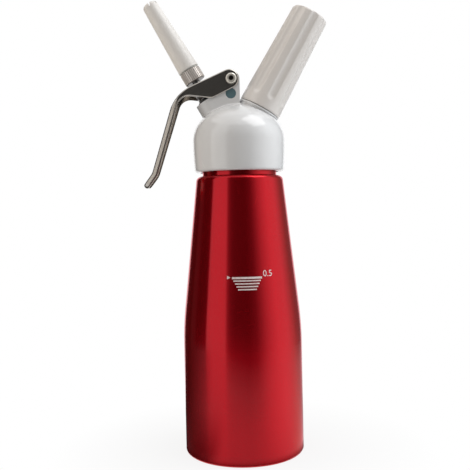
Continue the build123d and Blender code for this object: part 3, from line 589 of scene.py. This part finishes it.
def makeHolder():
    sizes = holder
    foot, top = spanOf("charger_holder", portFoot, portAxis)
    length = top - foot
    taper = (sizes["footRadius"] - sizes["topRadius"]) / length
    inside = [
        Vector((0, length - sizes["topWall"])),
        Vector((sizes["boreRadius"], length - sizes["topWall"])),
        Vector((sizes["boreRadius"], sizes["threadLength"])),
        Vector((sizes["threadRadius"], sizes["threadLength"])),
        Vector((sizes["threadRadius"], 0)),
    ]
    outside = softProfile([
        (sizes["threadRadius"], 0, 0),
        (sizes["footRadius"], 0, sizes["edge"]),
        (sizes["topRadius"], length, sizes["topEdge"]),
        (0, length, 0),
    ])
    line = inside + divided(outside, sizes["rowHeight"])[1:]
    piece = addPiece("fluted_holder", turnedMesh("fluted_holder", line, sizes["rounds"]))
    shapeByNodes(piece, makeFluting(), {
        "Count": sizes["flutes"], "Turn": sizes["fluteTurn"], "Flute Radius": sizes["fluteRadius"],
        "Depth": sizes["fluteDepth"], "Foot Radius": sizes["footRadius"], "Taper": taper,
        "Start": sizes["fluteStart"] + (2 * sizes["fluteRadius"] * sizes["fluteDepth"]) ** 0.5,
        "Softness": sizes["softness"], "Material": finishes["holder_plastic"],
    })
    standAlong(piece, portFoot + portAxis * foot, portAxis)
    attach(piece, "holder")
    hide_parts("charger_holder")
    return piece


makeHolder()
print("holder fluted")


# The return spring: an open coil with a closed turn at each end

spring = {
    "radius": 0.0049, "wire": 0.001, "turns": 4.0, "closedTurns": 0.8, "pointsPerTurn": 32, "sides": 12,
}


def makeCoiling():
    tree, given, out = newTree("springCoil", "GeometryNodeTree", [
        ("Radius", "NodeSocketFloat", 0.005),
        ("Wire", "NodeSocketFloat", 0.001),
        ("Rise", "NodeSocketFloat", 0.007),
        ("Turns", "NodeSocketFloat", 4.0),
        ("Closed Turns", "NodeSocketFloat", 0.8),
        ("Points", "NodeSocketInt", 128),
        ("Sides", "NodeSocketInt", 12),
        ("Material", "NodeSocketMaterial", None),
    ], [("Geometry", "NodeSocketGeometry")])
    tree.is_modifier = True
    line = put(tree, "GeometryNodeMeshLine", {"Count": given["Points"]}).outputs[0]
    last = maths(tree, "SUBTRACT", given["Points"], 1.0)
    along = maths(tree, "DIVIDE", put(tree, "GeometryNodeInputIndex").outputs[0], last)
    turn = maths(tree, "MULTIPLY", along, given["Turns"])
    angle = maths(tree, "MULTIPLY", turn, 2 * pi)
    # At each end the wire rises by little more than itself in a turn.
    closedRise = maths(tree, "MULTIPLY", given["Closed Turns"], given["Wire"])
    openFrom = given["Closed Turns"]
    openTo = maths(tree, "SUBTRACT", given["Turns"], given["Closed Turns"])
    bottom = maths(tree, "MULTIPLY", maths(tree, "MINIMUM", turn, openFrom), given["Wire"])
    topTurn = maths(tree, "MAXIMUM", maths(tree, "SUBTRACT", turn, openTo), 0.0)
    topPart = maths(tree, "MULTIPLY", topTurn, given["Wire"])
    openRise = maths(tree, "SUBTRACT", given["Rise"], maths(tree, "MULTIPLY", closedRise, 2.0))
    middle = remap(tree, turn, openFrom, openTo, 0.0, openRise)
    height = maths(tree, "ADD", maths(tree, "ADD", bottom, topPart), middle)
    moved = join(tree, maths(tree, "MULTIPLY", maths(tree, "COSINE", angle), given["Radius"]),
                 maths(tree, "MULTIPLY", maths(tree, "SINE", angle), given["Radius"]), height)
    coil = put(tree, "GeometryNodeSetPosition", {"Geometry": line, "Position": moved}).outputs[0]
    path = put(tree, "GeometryNodeMeshToCurve", {"Mesh": coil}).outputs[0]
    section = put(tree, "GeometryNodeCurvePrimitiveCircle", {
        "Resolution": given["Sides"], "Radius": maths(tree, "DIVIDE", given["Wire"], 2.0),
    }).outputs[0]
    wire = put(tree, "GeometryNodeCurveToMesh", {
        "Curve": path, "Profile Curve": section, "Fill Caps": True,
    }).outputs[0]
    endTree(tree, wire, given["Material"], out)
    return tree


def makeSpring():
    sizes = spring
    low, high = spanOf("return_spring", valveFoot, valveAxis)
    piece = addPiece("coiled_spring", bpy.data.meshes.new("coiled_spring"))
    shapeByNodes(piece, makeCoiling(), {
        "Radius": sizes["radius"], "Wire": sizes["wire"], "Rise": high - low - sizes["wire"],
        "Turns": sizes["turns"], "Closed Turns": sizes["closedTurns"],
        "Points": int(sizes["turns"] * sizes["pointsPerTurn"]), "Sides": sizes["sides"],
        "Material": finishes["spring_steel"],
    })
    piece.data.shade_smooth()
    foot = valveFoot + valveAxis * low
    standAlong(piece, foot + valveAxis * sizes["wire"] / 2, valveAxis)
    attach(piece, "head")
    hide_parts("return_spring")
    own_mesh(piece)
    return piece


makeSpring()
print("spring coiled")


# The fill mark: five bars that get shorter downwards, a number and a small pointer

fillMark = {
    "turn": radians(5.46), "height": 0.11967, "step": 0.00182, "bars": 5,
    "topWidth": 0.0193, "widthStep": 0.0019, "topThickness": 0.0013, "thickness": 0.0008,
    "proud": 0.00007, "number": "0.5", "numberSize": 0.0056, "numberPlace": (0.0104, 0.0006),
    "pointerSize": 0.0022, "pointerPlace": (-0.0128, 0.0004), "slopeOver": 0.02,
}


def bottleRadius(height):
    # The bottle's outer radius at a height: where a level ray from outside meets the frame's mesh.
    place = frame["nodes"]["bottle"].ray_cast((0, -1, height), (0, 1, 0))[1]
    return place.xy.length


def makeWrapping():
    # Bends flat artwork, drawn in X and Z round the origin, on to the bottle's cone.
    tree, given, out = newTree("wrapOnBottle", "GeometryNodeTree", [
        ("Geometry", "NodeSocketGeometry", None),
        ("Radius", "NodeSocketFloat", 0.036),
        ("Slope", "NodeSocketFloat", 0.1),
        ("Height", "NodeSocketFloat", 0.12),
        ("Turn", "NodeSocketFloat", 0.0),
        ("Material", "NodeSocketMaterial", None),
    ], [("Geometry", "NodeSocketGeometry")])
    tree.is_modifier = True
    place = split(tree, put(tree, "GeometryNodeInputPosition").outputs[0])
    angle = maths(tree, "ADD", maths(tree, "DIVIDE", place["X"], given["Radius"]), given["Turn"])
    fall = maths(tree, "MULTIPLY", place["Z"], given["Slope"])
    reach = maths(tree, "ADD", maths(tree, "SUBTRACT", given["Radius"], fall), place["Y"])
    front = maths(tree, "MULTIPLY", maths(tree, "COSINE", angle), -1.0)
    moved = join(tree, maths(tree, "MULTIPLY", maths(tree, "SINE", angle), reach),
                 maths(tree, "MULTIPLY", front, reach), maths(tree, "ADD", place["Z"], given["Height"]))
    bent = put(tree, "GeometryNodeSetPosition", {"Geometry": given["Geometry"], "Position": moved})
    endTree(tree, bent.outputs[0], given["Material"], out)
    return tree


def makeBars():
    # A stack of bars, each one step lower and shorter than the one above.
    tree, given, out = newTree("fillBars", "GeometryNodeTree", [
        ("Count", "NodeSocketInt", 5),
        ("Step", "NodeSocketFloat", 0.002),
        ("Top Width", "NodeSocketFloat", 0.02),
        ("Width Step", "NodeSocketFloat", 0.002),
        ("Top Thickness", "NodeSocketFloat", 0.001),
        ("Thickness", "NodeSocketFloat", 0.001),
        ("Proud", "NodeSocketFloat", 0.0001),
    ], [("Geometry", "NodeSocketGeometry")])
    tree.is_modifier = True
    down = join(tree, z=maths(tree, "MULTIPLY", given["Step"], -1.0))
    line = put(tree, "GeometryNodeMeshLine", {"Count": given["Count"], "Offset": down}).outputs[0]
    index = put(tree, "GeometryNodeInputIndex").outputs[0]
    width = maths(tree, "SUBTRACT", given["Top Width"], maths(tree, "MULTIPLY", index, given["Width Step"]))
    isTop = maths(tree, "LESS_THAN", index, 0.5)
    extra = maths(tree, "SUBTRACT", given["Top Thickness"], given["Thickness"])
    tall = maths(tree, "ADD", given["Thickness"], maths(tree, "MULTIPLY", isTop, extra))
    bar = put(tree, "GeometryNodeMeshCube", {"Size": (1, 1, 1), "Vertices X": 17}).outputs[0]
    thick = maths(tree, "MULTIPLY", given["Proud"], 2.0)
    bars = put(tree, "GeometryNodeInstanceOnPoints", {
        "Points": line, "Instance": bar, "Scale": join(tree, width, thick, tall),
    }).outputs[0]
    tree.links.new(put(tree, "GeometryNodeRealizeInstances", {"Geometry": bars}).outputs[0], out["Geometry"])
    return tree


def flatNumber():
    # The plain number, drawn flat and stood upright.
    text = bpy.data.curves.new("fillNumber", "FONT")
    text.body = fillMark["number"]
    text.size = fillMark["numberSize"]
    text.extrude = fillMark["proud"]
    text.resolution_u = 4
    drawn = bpy.data.objects.new("fillNumber", text)
    bpy.context.scene.collection.objects.link(drawn)
    bpy.context.view_layer.update()
    mesh = bpy.data.meshes.new_from_object(drawn.evaluated_get(bpy.context.evaluated_depsgraph_get()))
    bpy.data.objects.remove(drawn)
    right, up = fillMark["numberPlace"]
    mesh.transform(Matrix.Translation((right, 0, up)) @ Matrix.Rotation(radians(90), 4, "X"))
    return mesh


def flatPointer():
    # A small triangle that points at the top bar.
    size, proud = fillMark["pointerSize"], fillMark["proud"]
    right, up = fillMark["pointerPlace"]
    work = bmesh.new()
    corners = [(right, up - size / 2), (right + size, up), (right, up + size / 2)]
    face = work.faces.new([work.verts.new((x, -proud, z)) for x, z in corners])
    grown = bmesh.ops.extrude_face_region(work, geom=[face])["geom"]
    moved = [item for item in grown if isinstance(item, bmesh.types.BMVert)]
    bmesh.ops.translate(work, verts=moved, vec=(0, 2 * proud, 0))
    bmesh.ops.recalc_face_normals(work, faces=work.faces)
    mesh = bpy.data.meshes.new("fill_pointer")
    work.to_mesh(mesh)
    work.free()
    return mesh


def makeFillMark():
    sizes = fillMark
    wrapping = makeWrapping()
    radius = bottleRadius(sizes["height"])
    slope = (radius - bottleRadius(sizes["height"] + sizes["slopeOver"])) / sizes["slopeOver"]
    bars = addPiece("fill_bars", bpy.data.meshes.new("fill_bars"))
    shapeByNodes(bars, makeBars(), {
        "Count": sizes["bars"], "Step": sizes["step"], "Top Width": sizes["topWidth"],
        "Width Step": sizes["widthStep"], "Top Thickness": sizes["topThickness"],
        "Thickness": sizes["thickness"], "Proud": sizes["proud"],
    })
    for piece in (bars, addPiece("fill_number", flatNumber()), addPiece("fill_pointer", flatPointer())):
        shapeByNodes(piece, wrapping, {
            "Radius": radius, "Slope": slope, "Height": sizes["height"], "Turn": sizes["turn"],
            "Material": markInk,
        })
        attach(piece, "bottle")


makeFillMark()
print("fill mark printed")


# The stage: a pale floor, a white world, lamps, and grey cards that only gloss shows

stage = {
    "floorSize": 1.6, "floorColor": (0.6, 0.6, 0.6, 1), "floorWhite": (0.88, 1.0), "fade": (0.04, 0.13),
    "shadeLevel": 0.3, "shadeColor": (1, 0.95, 0.88, 1),
}


def seenDirectly(tree):
    # Whether the camera, a gloss or something clear looks at it.
    paths = put(tree, "ShaderNodeLightPath").outputs
    return maths(tree, "MAXIMUM", paths["Is Camera Ray"],
                 maths(tree, "MAXIMUM", paths["Is Glossy Ray"], paths["Is Transmission Ray"]))


def makeFloorSheet():
    # Plain and pale, lifted to white a little way off, where the camera or a gloss sees it.
    made, tree = emptyMaterial("floorSheet")
    away = lengthOf(tree, put(tree, "ShaderNodeTexCoord").outputs["Object"])
    white = remap(tree, away, *stage["fade"], *stage["floorWhite"])
    plain = put(tree, "ShaderNodeBsdfDiffuse", {"Color": stage["floorColor"]})
    glow = put(tree, "ShaderNodeEmission", {"Color": (1, 1, 1, 1), "Strength": 1.0})
    both = put(tree, "ShaderNodeMixShader", {
        0: maths(tree, "MULTIPLY", seenDirectly(tree), white), 1: plain.outputs[0], 2: glow.outputs[0],
    })
    put(tree, "ShaderNodeOutputMaterial", {"Surface": both.outputs[0]})
    return made


def makeFloor():
    half = stage["floorSize"]
    mesh = bpy.data.meshes.new("floor")
    mesh.from_pydata([(-half, -half, 0), (half, -half, 0), (half, half, 0), (-half, half, 0)], [],
                     [(0, 1, 2, 3)])
    addPiece("floor", mesh, makeFloorSheet())


def makeWorld():
    # White to the camera and in every gloss, and an even shade for matt surfaces.
    world = bpy.data.worlds.new("studio")
    bpy.context.scene.world = world
    world.use_nodes = True
    tree = world.node_tree
    tree.nodes.clear()
    seen = seenDirectly(tree)
    light = put(tree, "ShaderNodeBackground", {
        "Color": mixColor(tree, seen, stage["shadeColor"], (1, 1, 1, 1)),
        "Strength": remap(tree, seen, 0.0, 1.0, stage["shadeLevel"], 1.0),
    })
    put(tree, "ShaderNodeOutputWorld", {"Surface": light.outputs[0]})


makeFloor()
makeWorld()

cards = {
    "inner": 0.0405, "outer": 1.5, "height": 1.9, "opening": 149, "segments": 149,
    "lift": 0.0004, "rows": (0.1, 0.3), "contactShadow": (0.0405, 0.05), "contactShadowLevel": 0.12,
    "nearFade": (0.06, 0.16), "edgeWidth": 0.16,
    # How far out the lying card reaches: degrees right of the camera and the distance there.
    "edge": [
        (-149, 0.42), (-78, 0.4), (-50, 0.33), (-21, 0.235), (8, 0.195), (25, 0.2), (50, 0.26),
        (78, 0.32), (112, 0.3), (149, 0.3),
    ],
    # How bright the cards are, standing, lying and lying close to the foot, in the same way.
    "standing": [
        (-149, 0.03), (-119, 0.02), (-117, 0.07), (-103, 0.07), (-100, 0.02), (-74, 0.02), (-71.5, 0.92),
        (-33.5, 0.92), (-30, 0.3), (-24, 0.12), (-15, 0.05), (12, 0.02), (26, 0.09), (37, 0.32), (47, 0.62),
        (57, 0.85), (70, 1.08), (94, 1.05), (110, 0.66), (122, 0.36), (134, 0.24), (149, 0.2),
    ],
    "lying": [
        (-149, 0.03), (-124, 0.02), (-108, 0.07), (-94, 0.17), (-80, 0.33), (-72, 0.46), (-62, 0.68),
        (-56, 0.82), (-40, 0.84), (-25, 0.8), (-8, 0.74), (10, 0.72), (30, 0.8), (57, 1.05), (80, 1.2),
        (110, 0.95), (130, 0.62), (149, 0.6),
    ],
    # Close to the foot these levels are a painted shadow of the bottle on the floor, darkest on the left.
    "near": [
        (-149, 0.02), (-100, 0.05), (-62, 0.1), (-45, 0.24), (-30, 0.72), (-8, 0.74), (10, 0.72), (30, 0.8),
        (57, 1.0), (80, 1.0), (110, 0.8), (149, 0.5),
    ],
}


def levelsRound(tree, turn, stops):
    # A brightness by direction, from the list of (degrees right of the camera, level).
    brightest = max(level for degreesRight, level in stops)
    ramp = put(tree, "ShaderNodeValToRGB", {0: remap(tree, turn, -pi, pi, 0.0, 1.0)})
    elements = ramp.color_ramp.elements
    for index, (degreesRight, level) in enumerate(stops):
        spot = (degreesRight + 180) / 360
        stop = elements[index] if index < 2 else elements.new(spot)
        stop.position = spot
        stop.color = (level / brightest,) * 3 + (1,)
    return maths(tree, "MULTIPLY", ramp.outputs["Color"], brightest)


def makeCards():
    # A lying ring round the foot and a standing ring round that, open at the back.
    sizes = cards
    rings = [(radius, sizes["lift"]) for radius in (sizes["inner"], *sizes["rows"], sizes["outer"])]
    rings.append((sizes["outer"], sizes["height"]))
    count = sizes["segments"]
    turns = [radians(sizes["opening"]) * (2 * step / count - 1) for step in range(count + 1)]
    points = [(radius * sin(turn), -radius * cos(turn), height) for radius, height in rings for turn in turns]
    faces = [(low + step, low + step + 1, low + step + count + 2, low + step + count + 1)
             for low in range(0, (len(rings) - 1) * (count + 1), count + 1) for step in range(count)]
    mesh = bpy.data.meshes.new("cards")
    mesh.from_pydata(points, [], faces)
    made, tree = emptyMaterial("cardGrey")
    made.cycles.emission_sampling = "NONE"
    place = put(tree, "ShaderNodeTexCoord").outputs["Object"]
    parts = split(tree, place)
    turn = maths(tree, "ARCTAN2", parts["X"], maths(tree, "MULTIPLY", parts["Y"], -1.0))
    away = lengthOf(tree, place)
    nearness = remap(tree, away, *sizes["nearFade"], 1.0, 0.0)
    level = {name: levelsRound(tree, turn, sizes[name]) for name in ("standing", "lying", "near", "edge")}
    close = maths(tree, "MULTIPLY_ADD", nearness, maths(tree, "SUBTRACT", level["near"], level["lying"]),
                  level["lying"])
    # Painted contact shadow: the lying card dims to a low level right at the foot.
    lying = maths(tree, "MULTIPLY", close, remap(tree, away, *sizes["contactShadow"], sizes["contactShadowLevel"], 1.0))
    beyond = maths(tree, "SUBTRACT", away, level["edge"])
    share = remap(tree, beyond, 0.0, sizes["edgeWidth"], 0.0, 1.0)
    shown = maths(tree, "ADD", maths(tree, "MULTIPLY", level["standing"], share),
                  maths(tree, "MULTIPLY", lying, maths(tree, "SUBTRACT", 1.0, share)))
    glow = put(tree, "ShaderNodeEmission", {"Color": (1, 1, 1, 1), "Strength": shown})
    put(tree, "ShaderNodeOutputMaterial", {"Surface": glow.outputs[0]})
    piece = addPiece("cards", mesh, made)
    piece.visible_camera = False
    piece.visible_diffuse = False
    piece.visible_transmission = False
    piece.visible_shadow = False


makeCards()

aimHeight = 0.16  # the lamps face the object at this height
softboxes = {
    # name: direction from the object (degrees right of the camera, degrees up), distance, width,
    # height, the brightness of its face, its tint and whether gloss shows it
    "leftBox": (-82, 4, 1.3, 0.95, 1.2, 2.6, (1, 0.92, 0.82), False),
    "rightStrip": (90, 12, 1.2, 0.75, 1.4, 3.3, (0.9, 0.96, 1), False),
    "topBox": (68, 60, 1.1, 0.7, 0.7, 2.5, (1, 1, 1), True),
    "overBox": (20, 72, 1.1, 0.8, 0.8, 1.2, (0.96, 0.98, 1), False),
}


def makeSoftbox(name, turn, rise, distance, width, height, brightness, tint, inGloss):
    data = bpy.data.lights.new(name, "AREA")
    data.shape = "RECTANGLE"
    data.color = tint
    data.size = width
    data.size_y = height
    data.energy = brightness * pi * width * height
    made = bpy.data.objects.new(name, data)
    bpy.context.scene.collection.objects.link(made)
    toward = Vector((sin(radians(turn)) * cos(radians(rise)), -cos(radians(turn)) * cos(radians(rise)),
                     sin(radians(rise))))
    made.location = Vector((0, 0, aimHeight)) + toward * distance
    made.rotation_euler = toward.to_track_quat("Z", "Y").to_euler()
    made.visible_camera = False
    made.visible_glossy = inGloss
    return made


for name, sizes in softboxes.items():
    makeSoftbox(name, *sizes)
print("stage and lamps:", len(softboxes))


# The camera

camera = {
    "place": (-0.0008, -0.4781, 0.1600), "lens": 53.99, "sensor": 36.0,
    "down": 1.705, "left": 0.370, "roll": 1.211,
}


def makeCamera():
    data = bpy.data.cameras.new("camera")
    data.sensor_width = camera["sensor"]
    data.lens = camera["lens"]
    data.clip_start = 0.01
    made = bpy.data.objects.new("camera", data)
    bpy.context.scene.collection.objects.link(made)
    turned = (Matrix.Rotation(radians(camera["left"]), 4, "Z")
              @ Matrix.Rotation(radians(90 - camera["down"]), 4, "X")
              @ Matrix.Rotation(radians(-camera["roll"]), 4, "Z"))
    made.matrix_world = Matrix.Translation(camera["place"]) @ turned
    bpy.context.scene.camera = made


makeCamera()
bpy.context.scene.view_settings.view_transform = "Standard"
print("camera made")
